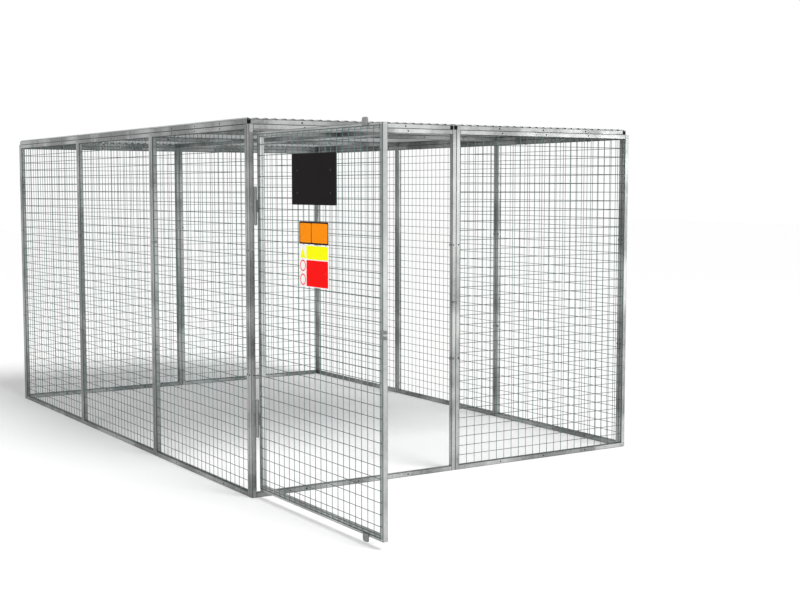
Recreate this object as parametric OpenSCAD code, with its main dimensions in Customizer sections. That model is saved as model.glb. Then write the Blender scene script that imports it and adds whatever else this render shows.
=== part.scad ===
// Gas cylinder cage: flat-pack store of galvanised box section and weldmesh.
// Origin at the centre of the footprint on the floor, X right along the front,
// Y to the back, Z up. The door is on the left half of the front.

/* [Panels] */
// Width of every wall panel and side of every square roof panel
panel_w = 1200; // [900:50:1500]
// Height of the wall panels
panel_h = 1800; // [1500:50:2100]

/* [Box section] */
// Outside width of the square tube
tube = 25; // [25:1:40]
// Wall thickness of the square tube
tube_wall = 2; // [1.5:0.5:3]
// Outside corner radius of the square tube
tube_r = 2.5; // [1:0.5:3]
// Clearance of the plastic plugs in the open tube ends
plug_fit = 0.1; // [0:0.05:0.2]
// Depth of the plastic plugs
plug_depth = 14; // [8:1:20]
// Wall thickness of the plastic plugs
plug_wall = 2; // [1:0.5:3]

/* [Weldmesh] */
// Wanted centre distance of the mesh wires
mesh_pitch = 50; // [40:5:100]
// Thickness of the mesh wires
wire = 3; // [2:0.5:3]
// Depth of the mesh behind the outer face of a wall panel
mesh_inset = 3; // [2.5:0.5:4]

/* [Bolts] */
// Diameter of the bolt holes and of the plain holes in the tubes
hole_d = 9; // [8.5:0.5:9]
// Diameter of the bolt shanks
bolt_d = 8; // [6:0.5:8]
// Width across the flats of heads and nuts
hex_af = 13; // [12:0.5:13]
// Height of the bolt heads
head_h = 5.3; // [4:0.1:6]
// Height of the nuts
nut_h = 6.5; // [5:0.1:8]
// Length of thread that stands past a nut
thread_out = 4; // [2:0.5:6]
// Depth of the joint bolts behind the outer face of a wall
bolt_depth = 16; // [15.5:0.1:16.4]

/* [Door] */
// Gap between the door and its bay on all four sides
door_gap = 12.5; // [11:0.5:16]
// Distance the closed door stands in front of the bay
door_proud = 0.5; // [0.5:0.1:1]
// Angle by which the door stands open at rest
door_open = 90; // [0:5:180]

/* [Hinges] */
// Height of the lower hinge's centre, and of the upper one's below the top
hinge_end = 388; // [300:4:500]
// Height of one knuckle
knuckle_h = 60; // [40:5:80]
// Outside diameter of the knuckles
knuckle_d = 14; // [12:0.5:14]
// Diameter of the hinge pins
pin_d = 8; // [6:0.5:8]
// Radial clearance of the pins in the knuckles
pin_fit = 0.05; // [0.03:0.01:0.1]
// Height of the pins' heads above the knuckles
pin_head = 3; // [2:0.5:5]
// Axial clearance between knuckles
knuckle_gap = 0.3; // [0.2:0.1:1]
// Thickness of the hinge leaves
leaf_t = 3; // [2:0.5:4]
// Radius of the hinge leaves' free corners
leaf_r = 6; // [2:1:10]
// Distance of the hinge axis from the hinge post's edge
hinge_side = 4; // [4:0.5:5]
// Distance of the hinge axis in front of the wall
hinge_front = 6.5; // [6.5:0.1:6.7]

/* [Door stops and hasp] */
// Width of the two stop lugs
lug_w = 44; // [30:1:60]
// Thickness of the stop lugs
lug_t = 5; // [3:0.5:6]
// Height by which the stop lugs pass the door's edge
lug_out = 25; // [20:1:30]
// Radius of the stop lugs' free corners
lug_r = 12; // [4:1:14]
// Distance of the stop lugs' centre from the door's free edge
lug_side = 132; // [80:1:300]
// Height of the hasp and of the padlock tab above the floor
hasp_z = 900; // [700:10:1100]
// Height of the hasp's forked plate
hasp_h = 38; // [30:1:50]
// Thickness of the hasp's forked plate
hasp_t = 5; // [3:0.5:6]
// Distance by which the hasp passes the door's free edge
hasp_out = 36; // [33:1:40]
// Height of the slot in the hasp
slot_h = 9; // [8:0.5:12]
// Distance of the slot's closed end from the door's free edge
slot_in = 4; // [2:0.5:5]
// Thickness of the padlock tab
tab_t = 6; // [4:0.5:7]
// Width of the padlock tab
tab_w = 15; // [13:0.5:16]
// Distance by which the padlock tab stands in front of the wall
tab_out = 32; // [28:1:40]
// Diameter of the padlock hole in the tab
lock_d = 9; // [6:0.5:9]

/* [Signs] */
// Thickness of the sign plates
sign_t = 2; // [1:0.5:3]
// Corner radius of the sign plates
sign_r = 6; // [2:1:10]
// Width of the upper sign plate
upper_sign_w = 400; // [250:10:500]
// Height of the upper sign plate
upper_sign_h = 228; // [150:2:300]
// Distance of the upper sign below the top of the wall panels
sign_drop = 150; // [130:2:200]
// Gap between the upper and the middle sign plates
upper_gap = 73.5; // [50:0.5:100]
// Width of the middle and lower sign plates
lower_sign_w = 264; // [200:4:400]
// Height of the middle sign plate
middle_sign_h = 100; // [90:2:110]
// Height of the lower sign plate
lower_sign_h = 187; // [160:1:200]
// Gap between the middle and the lower sign plates
sign_gap = 3.5; // [1:0.5:10]
// Diameter of the sign screws
screw_d = 4; // [3:0.5:5]
// Distance of the sign screws from the sides of their plate
screw_in = 25; // [20:1:35]
// Diameter of the washers that clamp the signs on the mesh
washer_d = 18; // [17:1:20]
// Thickness of those washers
washer_t = 1.5; // [1:0.1:1.5]

/* [Roof] */
// Wanted pitch of the roof sheet's corrugations
corrugation = 50; // [40:5:100]
// Height of the corrugations, sheet included
crest_h = 7; // [5:0.5:12]
// Thickness of the roof sheet
sheet_t = 1; // [0.7:0.1:1.5]
// Distance of each sheet's edge inside its roof frame
sheet_in = 5; // [2:1:8]
// Diameter of the roof rivets
rivet_d = 4.8; // [3.2:0.4:5.2]

/* [Hidden] */
$fn = 32;
ov = 1;

steel = [0.66, 0.68, 0.69];
mesh_grey = [0.62, 0.68, 0.66];
sheet_steel = [0.72, 0.74, 0.75];
bright_zinc = [0.78, 0.78, 0.76];
black_plastic = [0.06, 0.06, 0.06];

side_bays = 3;
layer_gap = 0.02;
mesh_clear = 0.5;
nut_play = 0.1;
rivet_play = 0.2;
screw_play = 0.4;
half_w = panel_w;
half_d = side_bays * panel_w / 2 + tube;
side_y = half_d - tube;
opening_w = panel_w - 2 * tube;
opening_h = panel_h - 2 * tube;

post_holes = [panel_h / 3, 2 * panel_h / 3];
face_holes = [panel_w / 4, panel_w / 2, 3 * panel_w / 4];
joint_holes = [panel_w / 4, 3 * panel_w / 4];

door_w = opening_w - 2 * door_gap;
door_h = opening_h - 2 * door_gap;
door_x = tube + door_gap;
door_z = tube + door_gap;
door_mesh_w = door_w - tube + wire;
door_mesh_h = door_h - tube + wire;
mesh_front = door_proud + 2 * wire;
knuckle_r = knuckle_d / 2;
hinge_x = tube + hinge_side;
sheet_w = panel_w - 2 * sheet_in;
crests = round(sheet_w / corrugation);
valley_x = sheet_w / crests;

// Outline of a rounded square or plate, each corner an arc of a few steps
function plate_points(w, h, r, steps = 3) =
    [for (c = [0:3], i = [0:steps])
        let (a = 90 * c + 90 * i / steps,
             cx = (c == 0 || c == 3) ? w - r : r,
             cy = (c < 2) ? h - r : r)
        [cx + r * cos(a), cy + r * sin(a)]];

// Comb of parallel wires joined by one cross wire along the far edge
function comb_points(w, h, gaps) =
    let (step = (w - wire) / gaps)
    concat(
        [for (i = [0:gaps]) each concat(
            [[i * step, 0], [i * step + wire, 0]],
            i < gaps ? [[i * step + wire, h - wire], [(i + 1) * step, h - wire]] : [])],
        [[w, h], [0, h]]);

// One face of the roof sheet across its width: flat crests and valleys in turn, a
// half crest at each edge. The edges of the sheet are folded down onto the frame
function wave_points(lift) =
    let (top = crest_h - sheet_t + lift, fold = sheet_t - lift)
    concat(
        [[fold, 0], [fold, top], [0.1 * valley_x, top]],
        [for (i = [0:crests - 1], q = [0.4, 0.6, 0.9, 1.1])
            [min((i + q) * valley_x, sheet_w - fold), q < 0.7 ? lift : top]],
        [[sheet_w - fold, 0]]);

// Square tube standing on its end, corner at the origin
module square_tube(len) {
    linear_extrude(len) difference() {
        polygon(plate_points(tube, tube, tube_r));
        translate([tube_wall, tube_wall]) square(tube - 2 * tube_wall);
    }
}

// Tube along X
module tube_x(len) {
    rotate([90, 0, 90]) square_tube(len);
}

// Tube along Y
module tube_y(len) {
    translate([0, len, 0]) rotate([90, 0, 0]) square_tube(len);
}

// Cutters for the plain and bolt holes, each right through one tube
module hole_x(y, z, d = hole_d) {
    translate([-ov, y, z]) rotate([0, 90, 0]) cylinder(d = d, h = tube + 2 * ov);
}
module hole_y(x, z, d = hole_d) {
    translate([x, tube + ov, z]) rotate([90, 0, 0]) cylinder(d = d, h = tube + 2 * ov);
}
module hole_z(x, y, d = hole_d) {
    translate([x, y, -ov]) cylinder(d = d, h = tube + 2 * ov);
}

// Upright of a wall panel; its front hole takes a corner bolt of the next wall
module wall_post(front_hole) {
    difference() {
        square_tube(panel_h);
        for (z = post_holes) {
            hole_x(bolt_depth, z);
            hole_y(front_hole, z);
        }
    }
}

// Rail of a wall panel, between its posts
module wall_rail() {
    difference() {
        tube_x(opening_w);
        for (x = face_holes) hole_y(x - tube, tube / 2);
        for (x = joint_holes) hole_z(x - tube, bolt_depth);
    }
}

// Welded frame of one wall panel, outer face on the XZ plane
module wall_frame() {
    color(steel) {
        wall_post(bolt_depth);
        translate([panel_w - tube, 0, 0]) wall_post(tube - bolt_depth);
        translate([tube, 0, 0]) wall_rail();
        translate([tube, 0, panel_h - tube]) wall_rail();
    }
}

// Weldmesh of given size standing in the XZ plane, upright wires in front. The
// two layers of wire are fused along the top and lie a hair apart elsewhere
module weldmesh(w, h) {
    color(mesh_grey) {
        translate([0, wire - layer_gap, 0]) rotate([90, 0, 0]) linear_extrude(wire - layer_gap)
            polygon(comb_points(w, h, round((w - wire) / mesh_pitch)));
        translate([0, 2 * wire, 0]) rotate([90, 0, 0]) linear_extrude(wire)
            polygon([for (p = comb_points(h, w, round((h - wire) / mesh_pitch))) [p[1], p[0]]]);
        translate([0, 0, h - wire]) cube([w, 2 * wire, wire]);
    }
}

module wall_mesh() {
    translate([tube, mesh_inset, tube]) weldmesh(opening_w, opening_h);
}

// Places of the wall panels, front, back and along the two sides
module on_front(col) {
    translate([-half_w + col * panel_w, -half_d, 0]) children();
}
module on_back(col) {
    translate([half_w - col * panel_w, half_d, 0]) rotate([0, 0, 180]) children();
}
module on_left(row) {
    translate([-half_w, -side_y + (row + 1) * panel_w, 0]) rotate([0, 0, -90]) children();
}
module on_right(row) {
    translate([half_w, -side_y + row * panel_w, 0]) rotate([0, 0, 90]) children();
}

// Place of a roof panel, its front left corner at the origin
module on_roof(col, row) {
    translate([-half_w + col * panel_w, -side_y + row * panel_w, panel_h]) children();
}

// Rivet places of a roof sheet: in valleys, over the front and back rails
rivet_spots = [for (k = [1, 3, 5, 7], y = [tube / 2, panel_w - tube / 2])
    [sheet_in + (floor(crests * k / 8) + 0.5) * valley_x, y]];

// Roof frame: two long rails front to back with cross rails between them
module roof_frame() {
    color(steel) {
        for (x = [0, panel_w - tube]) translate([x, 0, 0]) difference() {
            tube_y(panel_w);
            for (y = face_holes) hole_x(y, tube / 2);
            for (y = joint_holes) translate([0, y, -ov])
                translate([x == 0 ? bolt_depth : tube - bolt_depth, 0, 0])
                    cylinder(d = hole_d, h = tube_wall + 2 * ov);
        }
        for (y = [0, panel_w - tube]) translate([tube, y, 0]) difference() {
            tube_x(opening_w);
            for (x = face_holes) hole_y(x - tube, tube / 2);
            for (p = rivet_spots) if (abs(p[1] - y) < tube)
                translate([p[0] - tube, tube / 2, tube - tube_wall - ov])
                    cylinder(d = rivet_d + rivet_play, h = tube_wall + 2 * ov);
        }
    }
}

// Corrugated sheet lying on a roof frame, corrugations front to back
module roof_sheet() {
    over = wave_points(sheet_t);
    outline = concat(wave_points(0), [for (i = [len(over) - 1:-1:0]) over[i]]);
    color(sheet_steel) difference() {
        translate([sheet_in, panel_w - sheet_in, tube]) rotate([90, 0, 0])
            linear_extrude(panel_w - 2 * sheet_in) polygon(outline);
        for (p = rivet_spots) translate([p[0], p[1], tube - ov])
            cylinder(d = rivet_d + rivet_play, h = crest_h + 2 * ov);
    }
}

// Blind rivet: domed head on the sheet, tail inside the rail
module rivet() {
    dome = rivet_d / 3;
    tail = rivet_d * 0.7;
    rotate_extrude() polygon([
        [0, -tube_wall - tail], [tail, -tube_wall - 0.85 * tail], [tail, -tube_wall],
        [rivet_d / 2, -tube_wall], [rivet_d / 2, sheet_t], [rivet_d * 0.95, sheet_t],
        [rivet_d * 0.8, sheet_t + 0.6 * dome], [rivet_d * 0.4, sheet_t + dome], [0, sheet_t + dome]]);
}

module roof_rivets() {
    color(bright_zinc) for (col = [0, 1], row = [0:side_bays - 1], p = rivet_spots)
        on_roof(col, row) translate([p[0], p[1], tube]) rivet();
}

// Hollow plastic plug for a tube end, its face up at the origin's height
module tube_plug() {
    inner = tube - 2 * tube_wall - 2 * plug_fit;
    side = tube_wall + plug_fit;
    difference() {
        translate([side, side, -plug_depth]) cube([inner, inner, plug_depth]);
        translate([side + plug_wall, side + plug_wall, -plug_depth - ov])
            cube([inner - 2 * plug_wall, inner - 2 * plug_wall, plug_depth + ov - plug_wall]);
    }
}

// Plugs in the front and back ends of the roof's long rails
module roof_plugs() {
    color(black_plastic) for (x = [-half_w, -tube, 0, half_w - tube]) {
        translate([x, -side_y, panel_h + tube]) rotate([90, 0, 0]) mirror([0, 1, 0]) tube_plug();
        translate([x, side_y, panel_h]) rotate([-90, 0, 0]) mirror([0, 1, 0]) tube_plug();
    }
}

// Plugs in the open tops of the front and back walls' posts
module post_plugs() {
    color(black_plastic) for (x = [-half_w, -tube, 0, half_w - tube], y = [-half_d, half_d - tube])
        translate([x, y, panel_h]) tube_plug();
}

// Hexagon with two of its flats facing along Y
module hex_head(h) {
    cylinder(d = hex_af / cos(30), h = h, $fn = 6);
}

// Bolt along Z: head below the origin, shank upwards
module bolt(len) {
    translate([0, 0, -head_h]) hex_head(head_h);
    cylinder(d = bolt_d, h = len);
}

// Nut standing on the origin, with room for the shank
module nut() {
    difference() {
        hex_head(nut_h);
        translate([0, 0, -ov]) cylinder(d = bolt_d + nut_play, h = nut_h + 2 * ov);
    }
}

through_len = 2 * tube + nut_h + thread_out;
weld_nut_len = tube + tube_wall + nut_h + thread_out / 4;

// Bolts of the upright joints between neighbours in one wall, pointing along +X
module on_panel_joints() {
    for (z = post_holes) {
        on_front(1) translate([-tube, bolt_depth, z]) children();
        on_back(1) translate([-tube, bolt_depth, z]) children();
        for (row = [1:side_bays - 1]) {
            on_left(row) translate([panel_w - tube, bolt_depth, z]) children();
            on_right(row) translate([-tube, bolt_depth, z]) children();
        }
    }
}

module panel_bolts() {
    color(bright_zinc) on_panel_joints() rotate([0, 90, 0]) bolt(through_len);
}

module panel_nuts() {
    color(bright_zinc) on_panel_joints() translate([2 * tube, 0, 0]) rotate([0, 90, 0]) nut();
}

// Corner joints: from the side wall's end post into the front or back post
module on_corners() {
    for (z = post_holes) {
        on_left(0) translate([panel_w - tube, bolt_depth, z]) children();
        on_right(side_bays - 1) translate([panel_w - tube, bolt_depth, z]) children();
        on_left(side_bays - 1) translate([tube, bolt_depth, z]) mirror([1, 0, 0]) children();
        on_right(0) translate([tube, bolt_depth, z]) mirror([1, 0, 0]) children();
    }
}

module corner_bolts() {
    color(bright_zinc) on_corners() rotate([0, 90, 0]) bolt(weld_nut_len);
}

module corner_weld_nuts() {
    color(steel) on_corners() translate([tube + tube_wall, 0, 0]) rotate([0, 90, 0]) nut();
}

// Roof held down on the side walls, bolts from below into weld nuts
module on_roof_joints() {
    for (row = [0:side_bays - 1], x = joint_holes) {
        on_left(row) translate([x, bolt_depth, panel_h - tube]) children();
        on_right(row) translate([x, bolt_depth, panel_h - tube]) children();
    }
}

module roof_bolts() {
    color(bright_zinc) on_roof_joints() bolt(weld_nut_len);
}

module roof_weld_nuts() {
    color(steel) on_roof_joints() translate([0, 0, tube + tube_wall]) nut();
}

// Joints between neighbouring roof frames, bolts lying at half height
module on_seams() {
    for (row = [0:side_bays - 1], y = joint_holes)
        on_roof(1, row) translate([-tube, y, tube / 2]) rotate([0, 90, 0]) children();
    for (col = [0, 1], row = [1:side_bays - 1], x = joint_holes)
        on_roof(col, row) translate([x, -tube, tube / 2]) rotate([-90, 0, 0]) children();
}

module seam_bolts() {
    color(bright_zinc) on_seams() bolt(through_len);
}

module seam_nuts() {
    color(bright_zinc) on_seams() translate([0, 0, 2 * tube]) nut();
}

// Everything that swings is drawn closed in the door bay, then turned open
module swung() {
    on_front(0) translate([hinge_x, -hinge_front, 0]) rotate([0, 0, -door_open])
        translate([-hinge_x, hinge_front, 0]) children();
}

// Place on the door's outer face, measured from its lower hinge corner
module on_door(x, z) {
    swung() translate([door_x + x, -door_proud, door_z + z]) children();
}

module door_frame() {
    color(steel) {
        for (x = [0, door_w - tube]) on_door(x, 0) square_tube(door_h);
        for (z = [0, door_h - tube]) on_door(tube, z) tube_x(door_w - 2 * tube);
    }
}

module door_mesh() {
    on_door((door_w - door_mesh_w) / 2, (door_h - door_mesh_h) / 2)
        translate([0, -2 * wire, 0]) weldmesh(door_mesh_w, door_mesh_h);
}

module door_plugs() {
    color(black_plastic) for (x = [0, door_w - tube]) {
        on_door(x, door_h) tube_plug();
        on_door(x, 0) mirror([0, 0, 1]) tube_plug();
    }
}

// Knuckle with its leaf: barrel round the hinge axis, leaf along +X at depth y0
module knuckle(z0, z1, reach, y0) {
    r = min(leaf_r, reach / 2);
    translate([0, 0, z0]) difference() {
        union() {
            cylinder(d = knuckle_d, h = z1 - z0);
            translate([0, y0, 0]) rotate([90, 0, 0]) linear_extrude(leaf_t) polygon([
                [0, 0], [reach - r, 0],
                for (a = [-60, -30]) [reach - r + r * cos(a), r + r * sin(a)],
                [reach, r], [reach, z1 - z0 - r],
                for (a = [30, 60]) [reach - r + r * cos(a), z1 - z0 - r + r * sin(a)],
                [reach - r, z1 - z0], [0, z1 - z0]]);
        }
        translate([0, 0, -ov]) cylinder(d = pin_d + 2 * pin_fit, h = z1 - z0 + 2 * ov);
    }
}

hinge_low = hinge_end - 1.5 * knuckle_h;
hinge_high = panel_h - hinge_end - 1.5 * knuckle_h;
post_reach = hinge_side + 0.7 * tube;
door_reach = door_x - hinge_x + tube / 2 - wire / 2 - 2 * mesh_clear;

module on_hinge(z) {
    on_front(0) translate([hinge_x, -hinge_front, z]) children();
}

module post_knuckles(z) {
    color(steel) on_hinge(z) for (i = [0, 2]) mirror([1, 0, 0])
        knuckle(i * knuckle_h, (i + 1) * knuckle_h, post_reach, hinge_front);
}

module door_knuckle(z) {
    color(steel) swung() translate([hinge_x, -hinge_front, z])
        knuckle(knuckle_h + knuckle_gap, 2 * knuckle_h - knuckle_gap, door_reach,
            hinge_front - door_proud);
}

module hinge_pin(z) {
    top = 3 * knuckle_h;
    color(bright_zinc) on_hinge(z) rotate_extrude() polygon([
        [0, -pin_head], [pin_d / 2 - 1, -pin_head], [pin_d / 2, 1 - pin_head], [pin_d / 2, top],
        [knuckle_r - 1, top], [knuckle_r - 1, top + pin_head * 2 / 3],
        [knuckle_r - pin_head * 0.8, top + pin_head], [0, top + pin_head]]);
}

// Stop lug: flat plate from the mesh edge past the door's edge, free corners round
lug_in = tube / 2 - wire / 2 - mesh_clear;
module stop_lug() {
    h = lug_in + lug_out;
    color(steel) translate([-lug_w / 2, 0, -lug_in]) rotate([90, 0, 0]) linear_extrude(lug_t) polygon([
        [0, 0], [lug_w, 0], [lug_w, h - lug_r],
        for (a = [22.5, 45, 67.5]) [lug_w - lug_r + lug_r * cos(a), h - lug_r + lug_r * sin(a)],
        [lug_w - lug_r, h], [lug_r, h],
        for (a = [112.5, 135, 157.5]) [lug_r + lug_r * cos(a), h - lug_r + lug_r * sin(a)],
        [0, h - lug_r]]);
}

// Hasp: plate on the free stile, its slot open towards the free end
module hasp_fork() {
    w = lug_in + hasp_out;
    slot_x = w - hasp_out + slot_in + slot_h / 2;
    color(steel) on_door(door_w - lug_in, hasp_z - door_z) rotate([90, 0, 0]) linear_extrude(hasp_t)
        difference() {
            translate([0, -hasp_h / 2]) square([w, hasp_h]);
            translate([slot_x, 0]) circle(d = slot_h);
            translate([slot_x, -slot_h / 2]) square([w, slot_h]);
        }
}

// Tab on the lock post: it passes through the hasp's slot and takes the padlock
lock_x = panel_w - tube / 2;
module padlock_tab() {
    color(steel) on_front(0) translate([lock_x, 0, hasp_z - tab_t / 2]) difference() {
        union() {
            translate([-tab_w / 2, -tab_out + tab_w / 2, 0]) cube([tab_w, tab_out - tab_w / 2, tab_t]);
            translate([0, -tab_out + tab_w / 2, 0]) cylinder(d = tab_w, h = tab_t);
        }
        translate([0, -tab_out + tab_w / 2, -ov]) cylinder(d = lock_d, h = tab_t + 2 * ov);
    }
}

// Sign screws stand beside an upright mesh wire, midway between two cross wires
mesh_x0 = (door_w - door_mesh_w) / 2;
mesh_z0 = (door_h - door_mesh_h) / 2;
mesh_dx = (door_mesh_w - wire) / round((door_mesh_w - wire) / mesh_pitch);
mesh_dz = (door_mesh_h - wire) / round((door_mesh_h - wire) / mesh_pitch);
wire_side = wire + screw_d / 2 + 2 * mesh_clear;
function beside_wire(x) = mesh_x0 + round((x - mesh_x0) / mesh_dx) * mesh_dx + wire_side;
function between_wires(z) = mesh_z0 + wire / 2 + (floor((z - mesh_z0) / mesh_dz) + 0.5) * mesh_dz;
function sign_spots(w, z, h) =
    [for (x = [door_w / 2 - w / 2 + screw_in, door_w / 2 + w / 2 - screw_in - wire - washer_d / 2],
          y = [z + h / 4, z + 3 * h / 4])
        [beside_wire(x), between_wires(y)]];

upper_z = panel_h - door_z - sign_drop - upper_sign_h;
middle_z = upper_z - upper_gap - middle_sign_h;
lower_z = middle_z - sign_gap - lower_sign_h;

module sign_plate(w, z, h) {
    difference() {
        on_door(door_w / 2 - w / 2, z) translate([0, -2 * wire, 0]) rotate([90, 0, 0])
            linear_extrude(sign_t) polygon(plate_points(w, h, sign_r));
        for (p = sign_spots(w, z, h)) on_door(p[0], p[1]) translate([0, -2 * wire + ov, 0])
            rotate([90, 0, 0]) cylinder(d = screw_d + screw_play, h = sign_t + 2 * ov);
    }
}

// Screw with a pan head in front and a broad washer clamped behind an upright wire
module sign_screw() {
    front = 2 * wire + sign_t;
    washer = wire - washer_t;
    nut = washer - 0.75 * screw_d;
    head = 0.55 * screw_d;
    rotate([90, 0, 0]) rotate_extrude() polygon([
        [0, nut - 1], [screw_d / 2, nut - 1], [screw_d / 2, nut], [screw_d * 0.85, nut],
        [screw_d * 0.85, washer], [washer_d / 2, washer], [washer_d / 2, wire], [screw_d / 2, wire],
        [screw_d / 2, front], [screw_d, front], [screw_d * 0.9, front + 0.7 * head],
        [screw_d * 0.5, front + head], [0, front + head]]);
}

module sign_screws() {
    color(bright_zinc) for (p = concat(
            sign_spots(upper_sign_w, upper_z, upper_sign_h),
            sign_spots(lower_sign_w, middle_z, middle_sign_h),
            sign_spots(lower_sign_w, lower_z, lower_sign_h)))
        on_door(p[0], p[1]) sign_screw();
}

on_left(0) wall_frame();  // left_frame_1
on_left(1) wall_frame();  // left_frame_2
on_left(2) wall_frame();  // left_frame_3
on_left(0) wall_mesh();  // left_mesh_1
on_left(1) wall_mesh();  // left_mesh_2
on_left(2) wall_mesh();  // left_mesh_3
on_right(0) wall_frame();  // right_frame_1
on_right(1) wall_frame();  // right_frame_2
on_right(2) wall_frame();  // right_frame_3
on_right(0) wall_mesh();  // right_mesh_1
on_right(1) wall_mesh();  // right_mesh_2
on_right(2) wall_mesh();  // right_mesh_3
on_back(0) wall_frame();  // back_frame_1
on_back(1) wall_frame();  // back_frame_2
on_back(0) wall_mesh();  // back_mesh_1
on_back(1) wall_mesh();  // back_mesh_2
on_front(1) wall_frame();  // front_frame
on_front(1) wall_mesh();  // front_mesh
on_front(0) wall_frame();  // door_bay_frame
on_roof(0, 0) roof_frame();  // roof_frame_left_1
on_roof(0, 1) roof_frame();  // roof_frame_left_2
on_roof(0, 2) roof_frame();  // roof_frame_left_3
on_roof(1, 0) roof_frame();  // roof_frame_right_1
on_roof(1, 1) roof_frame();  // roof_frame_right_2
on_roof(1, 2) roof_frame();  // roof_frame_right_3
on_roof(0, 0) roof_sheet();  // roof_sheet_left_1
on_roof(0, 1) roof_sheet();  // roof_sheet_left_2
on_roof(0, 2) roof_sheet();  // roof_sheet_left_3
on_roof(1, 0) roof_sheet();  // roof_sheet_right_1
on_roof(1, 1) roof_sheet();  // roof_sheet_right_2
on_roof(1, 2) roof_sheet();  // roof_sheet_right_3
roof_rivets();
roof_plugs();
post_plugs();
panel_bolts();
panel_nuts();
corner_bolts();
corner_weld_nuts();
roof_bolts();
roof_weld_nuts();
seam_bolts();
seam_nuts();
door_frame();
door_mesh();
door_plugs();
post_knuckles(hinge_low);  // lower_post_knuckles
door_knuckle(hinge_low);  // lower_door_knuckle
hinge_pin(hinge_low);  // lower_hinge_pin
post_knuckles(hinge_high);  // upper_post_knuckles
door_knuckle(hinge_high);  // upper_door_knuckle
hinge_pin(hinge_high);  // upper_hinge_pin
on_door(door_w - lug_side, door_h) stop_lug();  // top_stop_lug
on_door(door_w - lug_side, 0) mirror([0, 0, 1]) stop_lug();  // bottom_stop_lug
hasp_fork();
padlock_tab();
color([0.05, 0.05, 0.05])  // upper_sign
    sign_plate(upper_sign_w, upper_z, upper_sign_h);
color([0.9, 0.35, 0.08])  // middle_sign
    sign_plate(lower_sign_w, middle_z, middle_sign_h);
color([0.9, 0.9, 0.88])  // lower_sign
    sign_plate(lower_sign_w, lower_z, lower_sign_h);
sign_screws();
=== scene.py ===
import math

import bmesh
import bpy
from mathutils import Euler, Matrix, Vector


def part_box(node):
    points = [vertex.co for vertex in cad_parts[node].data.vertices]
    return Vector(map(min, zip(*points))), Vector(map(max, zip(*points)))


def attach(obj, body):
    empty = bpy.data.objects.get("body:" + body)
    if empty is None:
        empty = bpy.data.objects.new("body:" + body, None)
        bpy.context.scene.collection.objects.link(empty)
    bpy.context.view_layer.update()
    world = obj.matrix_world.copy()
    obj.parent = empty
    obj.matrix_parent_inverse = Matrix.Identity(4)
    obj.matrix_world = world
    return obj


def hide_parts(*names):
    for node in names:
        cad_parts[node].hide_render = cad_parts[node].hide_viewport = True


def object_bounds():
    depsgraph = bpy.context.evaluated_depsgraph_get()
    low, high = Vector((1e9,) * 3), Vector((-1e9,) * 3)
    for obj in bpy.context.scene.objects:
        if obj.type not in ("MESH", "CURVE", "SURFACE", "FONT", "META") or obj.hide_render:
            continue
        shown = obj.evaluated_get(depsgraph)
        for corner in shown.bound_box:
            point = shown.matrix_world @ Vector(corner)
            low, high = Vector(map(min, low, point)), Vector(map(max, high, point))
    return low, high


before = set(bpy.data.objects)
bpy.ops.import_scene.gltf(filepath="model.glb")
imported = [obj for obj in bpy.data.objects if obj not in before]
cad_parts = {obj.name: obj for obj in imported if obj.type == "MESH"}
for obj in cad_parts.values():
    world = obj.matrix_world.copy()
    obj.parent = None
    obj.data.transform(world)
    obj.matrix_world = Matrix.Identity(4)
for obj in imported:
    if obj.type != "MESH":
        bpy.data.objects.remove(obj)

cad_low, cad_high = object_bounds()
scene = bpy.context.scene

# Wall and roof frames
# Flat frames of 25 mm square steel tube, cut square and welded at the corners, then hot-dip
# galvanised as a whole. The zinc is dull, with a faint crystal pattern and a few long runs.
TUBE = 0.025
FRAME_NODES = sorted(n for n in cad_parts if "frame" in n and n != "door_frame")
ZINC_DARK = (0.138, 0.1445, 0.141, 1)
ZINC_LIGHT = (0.465, 0.476, 0.470, 1)
# Colour of the painted dark reflection along the tubes' rounded edges.
PAINTED_EDGE_REFLECTION = (0.045, 0.058, 0.05, 1)
EDGE_SHADE = 0.8
ZINC_ROUGHNESS = 0.40
ZINC_METAL = 0.88
CRYSTAL = 0.011
CLOUDS_FROM = (11.7, 2.1, 6.3)
RUN_STRETCH = (60, 60, 2.2)
FLAT_FROM = 0.985
SQUARE_FROM = 0.9
# Colour of the painted shade, nearly black, on the tubes' inner walls.
PAINTED_TUBE_SHADE = (0.012, 0.014, 0.013, 1)
INSIDE_FROM = 0.001
LEAST_STEP = 1.0


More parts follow.
